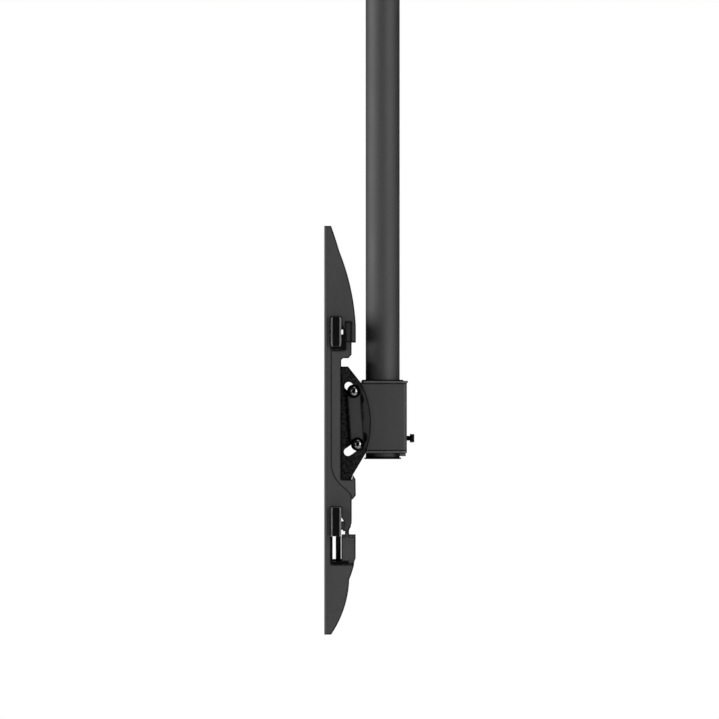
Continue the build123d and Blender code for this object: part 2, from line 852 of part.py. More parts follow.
save("tilt_bracket", tilt_bracket())
save("bracket_screws", bracket_screws())
save("spine", spine())
save("rail_saddles", saddles())
for level, rail_top in (("upper", upper_rail_top), ("lower", lower_rail_top)):
    save(f"{level}_rail", rail(rail_top))
    for name, side in SIDES:
        save(f"{level}_rail_cap_{name}", rail_cap(rail_top, side))
for name, side in SIDES:
    save(f"link_plate_{name}", link_plate(side))
    save(f"arm_{name}", arm(side))
    save(f"nut_plate_{name}", nut_plate(side))
    save(f"plate_nut_{name}", plate_nut(side))
    save(f"latch_{name}", latch(side))
    save(f"latch_foot_{name}", latch_foot(side))
    save(f"jack_screw_{name}", jack_screw(side))
    save(f"jam_nut_{name}", jam_nut(side))
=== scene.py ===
# %% [markdown]
# A ceiling mount for a flat screen, seen from its side. A steel pole comes down
# from the ceiling. A clamp swivels round it, a slotted bracket tilts on the
# clamp, and a spine with two rails carries the two long arms that hold the
# screen. The measured model is loaded first, and each piece is then dressed.

import json
import math

import bmesh
import bpy
from mathutils import Matrix, Vector


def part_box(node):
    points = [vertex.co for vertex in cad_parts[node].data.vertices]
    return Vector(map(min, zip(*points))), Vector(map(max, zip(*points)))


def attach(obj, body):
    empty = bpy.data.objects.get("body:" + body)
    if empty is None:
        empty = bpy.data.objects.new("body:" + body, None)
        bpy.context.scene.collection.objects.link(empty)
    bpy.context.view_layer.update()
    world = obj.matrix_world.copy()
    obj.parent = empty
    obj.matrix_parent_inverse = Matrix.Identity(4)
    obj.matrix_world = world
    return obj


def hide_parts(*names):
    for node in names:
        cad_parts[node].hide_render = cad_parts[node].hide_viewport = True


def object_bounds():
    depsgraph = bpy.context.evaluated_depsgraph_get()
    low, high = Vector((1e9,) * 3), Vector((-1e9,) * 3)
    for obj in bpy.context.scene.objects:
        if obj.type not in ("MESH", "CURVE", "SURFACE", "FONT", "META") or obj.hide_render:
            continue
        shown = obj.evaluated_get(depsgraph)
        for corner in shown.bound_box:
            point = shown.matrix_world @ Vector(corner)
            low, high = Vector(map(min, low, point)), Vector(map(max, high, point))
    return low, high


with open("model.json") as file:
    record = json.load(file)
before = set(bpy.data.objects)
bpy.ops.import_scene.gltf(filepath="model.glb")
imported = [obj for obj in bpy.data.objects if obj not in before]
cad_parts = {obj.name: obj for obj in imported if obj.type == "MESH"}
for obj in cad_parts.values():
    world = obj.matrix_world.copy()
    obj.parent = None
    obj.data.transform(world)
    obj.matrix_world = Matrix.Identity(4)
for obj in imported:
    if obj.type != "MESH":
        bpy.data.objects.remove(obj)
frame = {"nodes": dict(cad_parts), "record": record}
nodes = frame["nodes"]
cad_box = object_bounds()
MM = 0.001
SIDES = ("right", "left")
print(len(nodes), "measured pieces, size", [round(v, 3) for v in cad_box[1] - cad_box[0]])

# %% [markdown]
# The photograph looks along the rails with a very long lens: the near arm, the
# far arm and the pole all have one scale, and the slots can be seen through.
# A long lens far away gives the same flat view. The camera looks at the middle
# of the picture, and the picture's width on the object sets the distance.

# %% Camera
scene = bpy.context.scene
PICTURE_WIDTH = 0.7968
PICTURE_MIDDLE = Vector((0.0, -0.0258, -0.5589))
# How far in front of the mount's middle the picture has exactly this width.
NEAR_ARM = 0.17
LENS_MM = 1500.0
SENSOR_MM = 36.0

camera_distance = PICTURE_WIDTH * LENS_MM / SENSOR_MM
camera_data = bpy.data.cameras.new("long_lens")
camera_data.lens = LENS_MM
camera_data.sensor_width = SENSOR_MM
camera_data.clip_start = 0.1
camera_data.clip_end = camera_distance * 3
camera = bpy.data.objects.new("long_lens", camera_data)
camera.location = PICTURE_MIDDLE + Vector((camera_distance + NEAR_ARM, 0, 0))
camera.rotation_euler = (math.radians(90), 0, math.radians(90))
scene.collection.objects.link(camera)
scene.camera = camera
print("camera", round(camera_distance, 1), "m away")

# %% [markdown]
# Colours are written as the hex values of a paint chart. Blender's shaders work
# in linear light, so one function turns a chart colour into a shader colour.

# %% Colour and node helpers
# How many rays a Bevel node sends out to find a corner.
BEVEL_RAYS = {"samples": 6}


def linear(hex_colour):
    """An sRGB hex colour as linear red, green, blue and alpha."""
    parts = [int(hex_colour[i:i + 2], 16) / 255 for i in (1, 3, 5)]
    curved = [p / 12.92 if p <= 0.04045 else ((p + 0.055) / 1.055) ** 2.4 for p in parts]
    return (*curved, 1.0)


def add(tree, kind, settings=None, inputs=None):
    """Add a node, set its properties, and fill or link its inputs."""
    node = tree.nodes.new(kind)
    for name, value in (settings or {}).items():
        setattr(node, name, value)
    for name, value in (inputs or {}).items():
        socket = node.inputs[name]
        if isinstance(value, bpy.types.NodeSocket):
            tree.links.new(value, socket)
        else:
            socket.default_value = value
    return node


def new_material(name):
    """An empty material with its node tree and its output node."""
    material = bpy.data.materials.new(name)
    material.use_nodes = True
    material.node_tree.nodes.clear()
    output = add(material.node_tree, "ShaderNodeOutputMaterial")
    return material, material.node_tree, output


# %% [markdown]
# Most of the mount is sheet steel with one coat, but four places differ: the
# rails' sawn ends are lighter, the sheared edges of the clamp's two covers are
# lighter as a painted highlight, the steps that a press coined into the arms'
# hooks are darker as painted shade, and a band of the slotted bracket behind
# the links is lighter as a painted highlight. Each place is found from its own
# coordinates or its face's direction, so no part of a mesh has to be marked by
# hand.

# %% Sawn ends, painted edge highlight and painted hook shade
# How much of a face's direction lies along X, and along Z.
ENDWAYS = 0.9
UPRIGHT = 0.3
ARM_MIDDLE = 200 * MM
COINED = 14 * MM
COINED_SLACK = 0.4 * MM


def sawn_faces(tree, place):
    """One on the two sawn ends of a rail, which face along X."""
    facing = add(tree, "ShaderNodeSeparateXYZ", {}, {"Vector": place.outputs["Normal"]})
    along = add(tree, "ShaderNodeMath", {"operation": "ABSOLUTE"}, {0: facing.outputs["X"]})
    found = add(tree, "ShaderNodeMath", {"operation": "GREATER_THAN"}, {
        0: along.outputs["Value"], 1: ENDWAYS,
    })
    return found.outputs["Value"]


def cover_edge_highlight(tree, place):
    """One on the upright faces of a flat cover, where the shears cut it and a highlight is
    painted.
    """
    facing = add(tree, "ShaderNodeSeparateXYZ", {}, {"Vector": place.outputs["Normal"]})
    slope = add(tree, "ShaderNodeMath", {"operation": "ABSOLUTE"}, {0: facing.outputs["Z"]})
    found = add(tree, "ShaderNodeMath", {"operation": "LESS_THAN"}, {
        0: slope.outputs["Value"], 1: UPRIGHT,
    })
    return found.outputs["Value"]


def coined_step_shade(tree, place):
    """One in the shallow steps that a press left in an arm's hooks, beside its middle, where shade
    is painted.
    """
    spot = add(tree, "ShaderNodeSeparateXYZ", {}, {"Vector": place.outputs["Object"]})
    across = add(tree, "ShaderNodeMath", {"operation": "ABSOLUTE"}, {0: spot.outputs["X"]})
    from_arm = add(tree, "ShaderNodeMath", {"operation": "SUBTRACT"}, {
        0: across.outputs["Value"], 1: ARM_MIDDLE,
    })
    aside = add(tree, "ShaderNodeMath", {"operation": "ABSOLUTE"}, {0: from_arm.outputs["Value"]})
    found = add(tree, "ShaderNodeMath", {"operation": "COMPARE"}, {
        0: aside.outputs["Value"], 1: COINED, 2: COINED_SLACK,
    })
    return found.outputs["Value"]


print("coined steps", round(COINED / MM), "mm from an arm's middle")

# %% Painted highlight band
TILT_AXIS = (0, -63.8 * MM, -620 * MM)
BAND_STARTS, BAND_IS_FULL = 41.5 * MM, 44 * MM
BAND_MIDDLE = -624 * MM
BAND_FADES, BAND_ENDS = 26 * MM, 36 * MM


def side_distance(tree, place, centre):
    """How far a point is from a line along X, as the side view shows it."""
    side_view = add(tree, "ShaderNodeVectorMath", {"operation": "MULTIPLY"}, {
        0: place.outputs["Object"], 1: (0, 1, 1),
    })
    reach = add(tree, "ShaderNodeVectorMath", {"operation": "DISTANCE"}, {
        0: side_view.outputs["Vector"], 1: centre,
    })
    return reach.outputs["Value"]


def painted_band_highlight(tree, place):
    """One in the band behind the links, where a lighter highlight is painted."""
    outside = add(tree, "ShaderNodeMapRange", {}, {
        "Value": side_distance(tree, place, TILT_AXIS),
        "From Min": BAND_STARTS, "From Max": BAND_IS_FULL,
    })
    spot = add(tree, "ShaderNodeSeparateXYZ", {}, {"Vector": place.outputs["Object"]})
    level = add(tree, "ShaderNodeMath", {"operation": "SUBTRACT"}, {
        0: spot.outputs["Z"], 1: BAND_MIDDLE,
    })
    height = add(tree, "ShaderNodeMath", {"operation": "ABSOLUTE"}, {0: level.outputs["Value"]})
    inside = add(tree, "ShaderNodeMapRange", {}, {
        "Value": height.outputs["Value"], "From Min": BAND_ENDS, "From Max": BAND_FADES,
    })
    band = add(tree, "ShaderNodeMath", {"operation": "MULTIPLY"}, {
        0: outside.outputs["Result"], 1: inside.outputs["Result"],
    })
    return band.outputs["Value"]


print("tilt axis at", TILT_AXIS)

# %% [markdown]
# The coat is a baked powder with metal flake. Powder melts into a skin that is
# never quite flat: it has a fine pebble of under a millimetre, and a slow wave
# of a few centimetres where the layer is thicker. The flake makes it reflect
# like a very rough metal, so it shows broad soft lights and dark rims, not the
# even grey of plain paint. Every edge gets a near-black band of painted shade,
# for the dark outline where an edge turns away from the light. A Bevel node
# finds the edges, because it bends the normal only where two faces meet; a
# small one also rounds them for the light. Half a wave of a noise of scale 500
# is one millimetre, and that sets the pebble's scale. The slotted bracket has a
# coarser black powder. Its speckles are drawn at 1.3 mm, a little coarser than
# they are, because finer ones wouldn't show.

# %% Powder coat
METAL_FLAKE = 1.0
EDGE_RADIUS = 0.4 * MM
# Painted shade: how wide the dark band along every edge is.
EDGE_SHADE_MM = 3.0
WAVE_SCALE = 14.0
# The cosine of the bend at which the painted edge shade starts, and is full.
FACES_MEET = (0.998, 0.97)
EDGE_SHADE_SHARE = 0.97


def powder_coat(name, colour, edge_shade, pebble_mm, speckle, roughness, accent=None,
                over_edge_shade=False, edge_shade_mm=EDGE_SHADE_MM):
    """Baked flake powder: satin, with a fine pebble, and painted shade along the edges."""
    material, tree, output = new_material(name)
    place = add(tree, "ShaderNodeTexCoord")
    pebble = add(tree, "ShaderNodeTexNoise", {}, {
        "Vector": place.outputs["Object"], "Scale": 500 / pebble_mm,
        "Detail": 3.0, "Roughness": 0.6,
    })
    wave = add(tree, "ShaderNodeTexNoise", {}, {
        "Vector": place.outputs["Object"], "Scale": WAVE_SCALE, "Detail": 2.0, "Roughness": 0.5,
    })
    rounded = add(tree, "ShaderNodeBevel", BEVEL_RAYS, {"Radius": EDGE_RADIUS})
    # Painted shade: a second Bevel finds a band along every edge, which is painted near-black
    # below.
    near_edge = add(tree, "ShaderNodeBevel", BEVEL_RAYS, {"Radius": edge_shade_mm * MM})
    flat = add(tree, "ShaderNodeNewGeometry")
    bend = add(tree, "ShaderNodeVectorMath", {"operation": "DOT_PRODUCT"}, {
        0: near_edge.outputs["Normal"], 1: flat.outputs["Normal"],
    })
    edge = add(tree, "ShaderNodeMapRange", {}, {
        "Value": bend.outputs["Value"], "From Min": FACES_MEET[0], "From Max": FACES_MEET[1],
        "To Max": EDGE_SHADE_SHARE,
    })
    fleck = add(tree, "ShaderNodeMapRange", {}, {
        "Value": pebble.outputs["Fac"], "From Min": 0.35, "From Max": 0.65,
        "To Min": 1 - speckle, "To Max": 1 + speckle,
    })
    layer = add(tree, "ShaderNodeMapRange", {}, {
        "Value": wave.outputs["Fac"], "From Min": 0.3, "From Max": 0.7,
        "To Min": 0.95, "To Max": 1.05,
    })
    uneven = add(tree, "ShaderNodeMath", {"operation": "MULTIPLY"}, {
        0: fleck.outputs["Result"], 1: layer.outputs["Result"],
    })
    tone = add(tree, "ShaderNodeVectorMath", {"operation": "SCALE"}, {
        0: linear(colour)[:3], "Scale": uneven.outputs["Value"],
    })
    if accent:
        where, other_colour = accent
        share = where(tree, place)
        tone = add(tree, "ShaderNodeMixRGB", {}, {
            "Fac": share, "Color1": tone.outputs["Vector"], "Color2": linear(other_colour),
        })
        if over_edge_shade:
            coated = add(tree, "ShaderNodeMath", {"operation": "SUBTRACT"}, {0: 1.0, 1: share})
            edge = add(tree, "ShaderNodeMath", {"operation": "MULTIPLY"}, {
                0: edge.outputs["Result"], 1: coated.outputs["Value"],
            })
    paint = add(tree, "ShaderNodeMixRGB", {}, {
        "Fac": edge.outputs[0], "Color1": tone.outputs[0], "Color2": linear(edge_shade),
    })
    shine = add(tree, "ShaderNodeMapRange", {}, {
        "Value": wave.outputs["Fac"], "From Min": 0.3, "From Max": 0.7,
        "To Min": roughness - 0.03, "To Max": roughness + 0.04,
    })
    skin = add(tree, "ShaderNodeBump", {}, {
        "Strength": 0.35, "Distance": 0.06 * MM, "Height": pebble.outputs["Fac"],
        "Normal": rounded.outputs["Normal"],
    })
    coat = add(tree, "ShaderNodeBsdfPrincipled", {}, {
        "Base Color": paint.outputs["Color"], "Roughness": shine.outputs["Result"],
        "Normal": skin.outputs["Normal"], "Metallic": METAL_FLAKE,
    })
    tree.links.new(coat.outputs["BSDF"], output.inputs["Surface"])
    return material


print("powder coat: primer", EDGE_SHADE_MM, "mm wide at the edges")

# %% The mount's coats
# The edge colour of each coat is painted shade along its edges.
CHARCOAL = {
    "colour": "#565656", "edge_shade": "#040404", "pebble_mm": 0.8, "speckle": 0.05, "roughness": 0.70,
}
charcoal_coat = powder_coat("charcoal_powder_coat", **CHARCOAL)
rail_coat = powder_coat(
    "charcoal_coat_sawn_ends", **CHARCOAL, accent=(sawn_faces, "#989898"), over_edge_shade=True,
)
# The darker #444444 is painted shade in the coined steps of the hooks.
arm_coat = powder_coat("charcoal_coat_painted_hook_shade", **CHARCOAL, accent=(coined_step_shade, "#444444"))
# The lighter #6C6C6C is a painted highlight on the covers' upright edges.
cover_coat = powder_coat(
    "charcoal_coat_painted_edge_highlight", **CHARCOAL, accent=(cover_edge_highlight, "#6C6C6C"), edge_shade_mm=1.0,
)
# On the weld beads the painted edge shade is lighter.
weld_coat = powder_coat("charcoal_coat_on_weld", **{**CHARCOAL, "edge_shade": "#404040"})
graphite_coat = powder_coat(
    "graphite_powder_coat", **{**CHARCOAL, "colour": "#505050", "speckle": 0.06},
)
# The band behind the links is a painted highlight, lighter at #434343.
black_coat = powder_coat(
    "black_textured_powder_coat", colour="#2E2E2E", edge_shade="#030303",
    pebble_mm=1.3, speckle=0.9, roughness=0.62, accent=(painted_band_highlight, "#434343"),
)
print("coats:", [m.name for m in bpy.data.materials])

# %% [markdown]
# Screws and washers are black-oxide steel: steel that a hot salt bath has
# turned black. It is still metal, so it reflects like metal, only dark, with
# faint marks left by the lathe. The domed heads of the tilt bolts are polished
# on the crown, so they mirror the windows as two bright patches; the flank round
# the crown is painted near-black, a painted dark ring of shade. The jack screws
# are grey phosphated steel. The tilt's spacers and the nuts inside the clamp and
# the arms, which hardly show, are zinc plated.

# %% Turned steel
LATHE_MM = 0.5
CROWN_RADIUS = 4.5 * MM
CROWN_FADE = 0.5 * MM
# Painted shade: the flank round the crown is near-black, a dark ring.
FLANK_PAINTED_SHADE = "#060606"


def turned_metal(name, colour, roughness, crown=None):
    """Steel with a plated or blackened skin and fine turning marks."""
    material, tree, output = new_material(name)
    place = add(tree, "ShaderNodeTexCoord")
    marks = add(tree, "ShaderNodeTexNoise", {}, {
        "Vector": place.outputs["Object"], "Scale": 1000 / LATHE_MM,
        "Detail": 2.0, "Roughness": 0.7,
    })
    cloud = add(tree, "ShaderNodeTexNoise", {}, {
        "Vector": place.outputs["Object"], "Scale": 160.0, "Detail": 3.0,
    })
    tone = add(tree, "ShaderNodeMixRGB", {"blend_type": "MULTIPLY"}, {
        "Fac": 0.3, "Color1": linear(colour), "Color2": cloud.outputs["Fac"],
    })
    if crown:
        flank = add(tree, "ShaderNodeMapRange", {}, {
            "Value": side_distance(tree, place, crown),
            "From Min": CROWN_RADIUS, "From Max": CROWN_RADIUS + CROWN_FADE,
        })
        tone = add(tree, "ShaderNodeMixRGB", {}, {
            "Fac": flank.outputs["Result"], "Color1": tone.outputs["Color"],
            "Color2": linear(FLANK_PAINTED_SHADE),
        })
    shine = add(tree, "ShaderNodeMapRange", {}, {
        "Value": cloud.outputs["Fac"], "To Min": roughness * 0.8, "To Max": roughness * 1.2,
    })
    rounded = add(tree, "ShaderNodeBevel", BEVEL_RAYS, {"Radius": 0.35 * MM})
    skin = add(tree, "ShaderNodeBump", {}, {
        "Strength": 0.2, "Distance": 0.03 * MM, "Height": marks.outputs["Fac"],
        "Normal": rounded.outputs["Normal"],
    })
    steel = add(tree, "ShaderNodeBsdfPrincipled", {}, {
        "Base Color": tone.outputs["Color"], "Metallic": 1.0,
        "Roughness": shine.outputs["Result"], "Normal": skin.outputs["Normal"],
    })
    tree.links.new(steel.outputs["BSDF"], output.inputs["Surface"])
    return material


def bolt_finish(node_name):
    """Black oxide, polished on the crown of the domed head, with a painted dark ring of shade
    round it.
    """
    low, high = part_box(node_name)
    centre = (0, (low.y + high.y) / 2, (low.z + high.z) / 2)
    return turned_metal(f"crown_and_painted_ring_{node_name}", "#787878", 0.08, crown=centre)


print("turning marks", LATHE_MM, "mm apart")

# %% Black oxide, phosphate and zinc
black_steel = turned_metal("black_oxide_steel", "#0E0E0E", 0.34)
grey_steel = turned_metal("phosphated_steel", "#505050", 0.45)
zinc_steel = turned_metal("zinc_plated_steel", "#BDBDBB", 0.28)
print("metals:", black_steel.name, grey_steel.name, zinc_steel.name)

# %% [markdown]
# The caps in the rails' ends, the saddles and the bushes are moulded nylon.
# The black saddles are painted shade: dark pieces set in the rails' pockets,
# where there is only shade. A spark-eroded mould leaves a fine matt grain on it.

# %% Moulded nylon
def moulded_nylon(name, colour, grain_mm):
    """Black nylon with the fine grain of its mould."""
    material, tree, output = new_material(name)
    place = add(tree, "ShaderNodeTexCoord")
    grain = add(tree, "ShaderNodeTexNoise", {}, {
        "Vector": place.outputs["Object"], "Scale": 1000 / grain_mm,
        "Detail": 2.0, "Roughness": 0.6,
    })
    rounded = add(tree, "ShaderNodeBevel", BEVEL_RAYS, {"Radius": 0.5 * MM})
    skin = add(tree, "ShaderNodeBump", {}, {
        "Strength": 0.3, "Distance": 0.04 * MM, "Height": grain.outputs["Fac"],
        "Normal": rounded.outputs["Normal"],
    })
    shine = add(tree, "ShaderNodeMapRange", {}, {
        "Value": grain.outputs["Fac"], "To Min": 0.48, "To Max": 0.62,
    })
    plastic = add(tree, "ShaderNodeBsdfPrincipled", {}, {
        "Base Color": linear(colour), "Roughness": shine.outputs["Result"],
        "Normal": skin.outputs["Normal"], "IOR": 1.53, "Specular IOR Level": 0.08,
    })
    tree.links.new(plastic.outputs["BSDF"], output.inputs["Surface"])
    return material


# On the saddles this black nylon is painted shade in the rails' pockets.
black_nylon = moulded_nylon("moulded_black_nylon", "#080808", 0.6)
print("plastic:", black_nylon.name)

# %% [markdown]
# Each measured piece gets the finish that its record slot names, and then the
# few pieces with a finish of their own. The mesh of a measured piece stays as
# it is, and only its material slots are filled.

# %% Dress the measured pieces
FINISHES = {
    "grey_powder_coat": charcoal_coat,
    "dark_powder_coat": black_coat,
    "black_screw_steel": black_steel,
    "bright_steel": zinc_steel,
    "black_plastic": black_nylon,
}


def dress(node_name, material):
    """Put one finish on a measured piece."""
    mesh = nodes[node_name].data
    mesh.materials.clear()
    mesh.materials.append(material)


for part in frame["record"]["subparts"]:
    dress(part["node"], FINISHES[part["material_slot"]])
for side in SIDES:
    dress(f"link_plate_{side}", graphite_coat)
    dress(f"arm_{side}", arm_coat)
    dress(f"jam_nut_{side}", black_steel)
for level in ("upper", "lower"):
    dress(f"{level}_rail", rail_coat)
    dress(f"{level}_tilt_bolt", bolt_finish(f"{level}_tilt_bolt"))
for cover in ("clamp_lid", "clamp_floor"):
    dress(cover, cover_coat)

# %% [markdown]
# The screws are plain round bars in the measured model. A real screw has a
# thread: one ridge wound round a core that is thinner than the screw's size. A
# helix follows a rule, so Geometry Nodes wind it: a spiral curve gets a small
# diamond for its section. Each tree has inputs for its sizes, by name.

# %% The node tree that winds a thread
def start_tree(name, sizes):
    """A Geometry Nodes tree with a shape, its sizes and a finish as inputs."""
    tree = bpy.data.node_groups.new(name, "GeometryNodeTree")
    tree.interface.new_socket("Geometry", in_out="INPUT", socket_type="NodeSocketGeometry")
    for size in sizes:
        tree.interface.new_socket(size, in_out="INPUT", socket_type="NodeSocketFloat")
    tree.interface.new_socket("Finish", in_out="INPUT", socket_type="NodeSocketMaterial")
    tree.interface.new_socket("Geometry", in_out="OUTPUT", socket_type="NodeSocketGeometry")
    return tree, add(tree, "NodeGroupInput")


def end_tree(tree, given, shape):
    """Realise the instances, set the finish and hand the shape out."""
    solid = add(tree, "GeometryNodeRealizeInstances", {}, {"Geometry": shape})
    painted = add(tree, "GeometryNodeSetMaterial", {}, {
        "Geometry": solid.outputs["Geometry"], "Material": given.outputs["Finish"],
    })
    add(tree, "NodeGroupOutput", {}, {"Geometry": painted.outputs["Geometry"]})
    return tree


STEPS_A_TURN = 20


def thread_tree():
    """Winds a ridge of one pitch on a core along Z, from the origin."""
    tree, given = start_tree("screw_thread", ("Root radius", "Pitch", "Length", "Ridge"))
    turns = add(tree, "ShaderNodeMath", {"operation": "DIVIDE"}, {
        0: given.outputs["Length"], 1: given.outputs["Pitch"],
    })
    helix = add(tree, "GeometryNodeCurveSpiral", {}, {
        "Resolution": STEPS_A_TURN, "Rotations": turns.outputs["Value"],
        "Height": given.outputs["Length"],
        "Start Radius": given.outputs["Root radius"], "End Radius": given.outputs["Root radius"],
    })
    section = add(tree, "GeometryNodeCurvePrimitiveCircle", {}, {
        "Resolution": 4, "Radius": given.outputs["Ridge"],
    })
    ridge = add(tree, "GeometryNodeCurveToMesh", {}, {
        "Curve": helix.outputs["Curve"], "Profile Curve": section.outputs["Curve"],
        "Fill Caps": True,
    })
    return end_tree(tree, given, ridge.outputs["Mesh"])


def grown(tree, values, finish, points=(), edges=()):
    """Run a tree on a small starting mesh and return the plain mesh that it makes."""
    seed = bpy.data.meshes.new(tree.name)
    seed.from_pydata(points, edges, [])
    maker = bpy.data.objects.new(tree.name, seed)
    scene.collection.objects.link(maker)
    modifier = maker.modifiers.new(tree.name, "NODES")
    modifier.node_group = tree
    items = [item for item in tree.interface.items_tree if item.in_out == "INPUT"]
    sockets = {item.name: item.identifier for item in items}
    for name, value in {**values, "Finish": finish}.items():
        modifier[sockets[name]] = value
    graph = bpy.context.evaluated_depsgraph_get()
    mesh = bpy.data.meshes.new_from_object(maker.evaluated_get(graph))
    bpy.data.objects.remove(maker)
    return mesh


winder = thread_tree()
print("thread tree with", len(winder.nodes), "nodes")

# %% [markdown]
# A threaded screw is a copy of the measured one. The copy is merged first,
# because a measured mesh is loose triangles. The points of its shank move in to
# the thread's root, the head with its hexagon socket stays, and the ridge is
# added. The new piece then stands for the measured screw.

# %% Threaded screws
BODIES = frame["record"]["behaviour"]["bodies"]
BODY_OF = {node: body for body, names in BODIES.items() for node in names}
SCREW_RADIUS = 6 * MM / 2
PITCH = 1.0 * MM
RIDGE = PITCH * 0.4
MERGE = 1e-6
ROUND_SLACK = 0.03 * MM
END_SLACK = 0.01 * MM


def thin_shank(screw, seat, axis, length):
    """Move the points of a shank in to the thread's root."""
    for vert in screw.verts:
        rel = vert.co - Vector(seat)
        far = rel.dot(axis)
        out = rel - axis * far
        on_shank = -END_SLACK < far < length + END_SLACK
        if on_shank and abs(out.length - SCREW_RADIUS) < ROUND_SLACK:
            vert.co -= out * (RIDGE / SCREW_RADIUS)


def threaded(node_name, seats, along, length, finish):
    """A measured screw with a wound thread, from each seat of a head along its shank."""
    axis = Vector(along).normalized()
    turn = axis.to_track_quat("Z", "Y").to_matrix().to_4x4()
    sizes = {
        "Root radius": SCREW_RADIUS - RIDGE, "Pitch": PITCH,
        "Length": length - PITCH, "Ridge": RIDGE,
    }
    screw = bmesh.new()
    screw.from_mesh(nodes[node_name].data)
    bmesh.ops.remove_doubles(screw, verts=screw.verts, dist=MERGE)
    for seat in seats:
        thin_shank(screw, seat, axis, length)
    for seat in seats:
        ridges = grown(winder, sizes, finish)
        ridges.transform(Matrix.Translation(Vector(seat) + axis * PITCH / 2) @ turn)
        screw.from_mesh(ridges)
    bmesh.ops.recalc_face_normals(screw, faces=screw.faces)
    mesh = bpy.data.meshes.new(f"threaded_{node_name}")
    screw.to_mesh(mesh)
    screw.free()
    mesh.materials.clear()
    mesh.materials.append(finish)
    piece = bpy.data.objects.new(f"threaded_{node_name}", mesh)
    scene.collection.objects.link(piece)
    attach(piece, BODY_OF[node_name])
    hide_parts(node_name)
    print(piece.name, "with", round(length / PITCH), "turns")


# %% The screws of the latches, the clamp and the bracket
# The heights of the measured heads, and the size and place of the bracket's.
JACK_HEAD = 6 * MM
LOCK_HEAD = 5 * MM
BRACKET_HEAD = 3.3 * MM
BRACKET_HEAD_RADIUS = 4.86 * MM
BRACKET_X = 15 * MM

for side in SIDES:
    low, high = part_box(f"jack_screw_{side}")
    seat = ((low.x + high.x) / 2, (low.y + high.y) / 2, low.z + JACK_HEAD)
    threaded(f"jack_screw_{side}", [seat], (0, 0, 1), high.z - seat[2], grey_steel)
low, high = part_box("swivel_lock_screw")
seat = (0, high.y - LOCK_HEAD, (low.z + high.z) / 2)
threaded("swivel_lock_screw", [seat], (0, -1, 0), seat[1] - low.y, black_steel)
low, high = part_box("bracket_screws")
seats = [
    (x, high.y - BRACKET_HEAD, z)
    for x in (BRACKET_X, -BRACKET_X)
    for z in (low.z + BRACKET_HEAD_RADIUS, high.z - BRACKET_HEAD_RADIUS)
]
threaded("bracket_screws", seats, (0, -1, 0), seats[0][1] - low.y, black_steel)

# %% [markdown]
# Two joints are welded: the pole's socket to its flange, and the lower rail to
# the spine's ears. A weld bead is a row of small frozen ripples, one for each
# moment that the wire melted. Geometry Nodes set a small ball, half sunk in
# the steel, at every step of a path. Each is a little larger or smaller than
# the last, with one fixed seed.

# %% The node tree that lays a weld bead
WELD_SEED = 7
RIPPLE_SIZES = (0.86, 1.08)


def weld_tree():
    """Lays overlapping ripples along the edges that it is given."""
    tree, given = start_tree("weld_bead", ("Width", "Step"))
    path = add(tree, "GeometryNodeMeshToCurve", {}, {"Mesh": given.outputs["Geometry"]})
    steps = add(tree, "GeometryNodeResampleCurve", {"mode": "LENGTH"}, {
        "Curve": path.outputs["Curve"], "Length": given.outputs["Step"],
    })
    half = add(tree, "ShaderNodeMath", {"operation": "MULTIPLY"}, {
        0: given.outputs["Width"], 1: 0.5,
    })
    drop = add(tree, "GeometryNodeMeshUVSphere", {}, {
        "Segments": 10, "Rings": 6, "Radius": half.outputs["Value"],
    })
    uneven = add(tree, "FunctionNodeRandomValue", {"data_type": "FLOAT"}, {
        2: RIPPLE_SIZES[0], 3: RIPPLE_SIZES[1], "Seed": WELD_SEED,
    })
    ripples = add(tree, "GeometryNodeInstanceOnPoints", {}, {
        "Points": steps.outputs["Curve"], "Instance": drop.outputs["Mesh"],
        "Scale": uneven.outputs[1],
    })
    return end_tree(tree, given, ripples.outputs["Instances"])


bead_layer = weld_tree()
print("weld tree with", len(bead_layer.nodes), "nodes")

# %% Weld beads
# A ripple's step as a share of the bead's width.
STEP_SHARE = 0.4
SOCKET_BEAD, RAIL_BEAD = 3.2 * MM, 2.2 * MM
SOCKET_RADIUS = 23.1 * MM
FLANGE_Z = -10.0 * MM
RING_POINTS = 96
# How far below the rail's top its beads start and end.
RUN_TOP, RUN_END = 1 * MM, 11 * MM


def weld(name, points, closed, width, body):
    """A bead along a line of points, on the body that carries it."""
    count = len(points)
    edges = [(i, (i + 1) % count) for i in range(count if closed else count - 1)]
    sizes = {"Width": width, "Step": width * STEP_SHARE}
    mesh = grown(bead_layer, sizes, weld_coat, points, edges)
    for face in mesh.polygons:
        face.use_smooth = True
    piece = bpy.data.objects.new(name, mesh)
    scene.collection.objects.link(piece)
    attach(piece, body)
    print(name, "with", len(mesh.polygons), "faces")


ring = []
for i in range(RING_POINTS):
    turn = math.tau * i / RING_POINTS
    ring.append((SOCKET_RADIUS * math.cos(turn), SOCKET_RADIUS * math.sin(turn), FLANGE_Z))
weld("socket_weld", ring, True, SOCKET_BEAD, "ceiling")
rail_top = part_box("lower_rail")[1]
spine_low, spine_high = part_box("spine")
for side, x in zip(SIDES, (spine_high.x, spine_low.x)):
    run = [(x, rail_top.y, rail_top.z - RUN_TOP), (x, rail_top.y, rail_top.z - RUN_END)]
    weld(f"rail_weld_{side}", run, False, RAIL_BEAD, "tilt_head")

# %% [markdown]
# The stage is a pale floor well below the mount, and white paper all round that
# only the camera, mirrors and glass see. The floor keeps the object's shadow,
# and its own glow grows outwards until it meets the paper without a line.

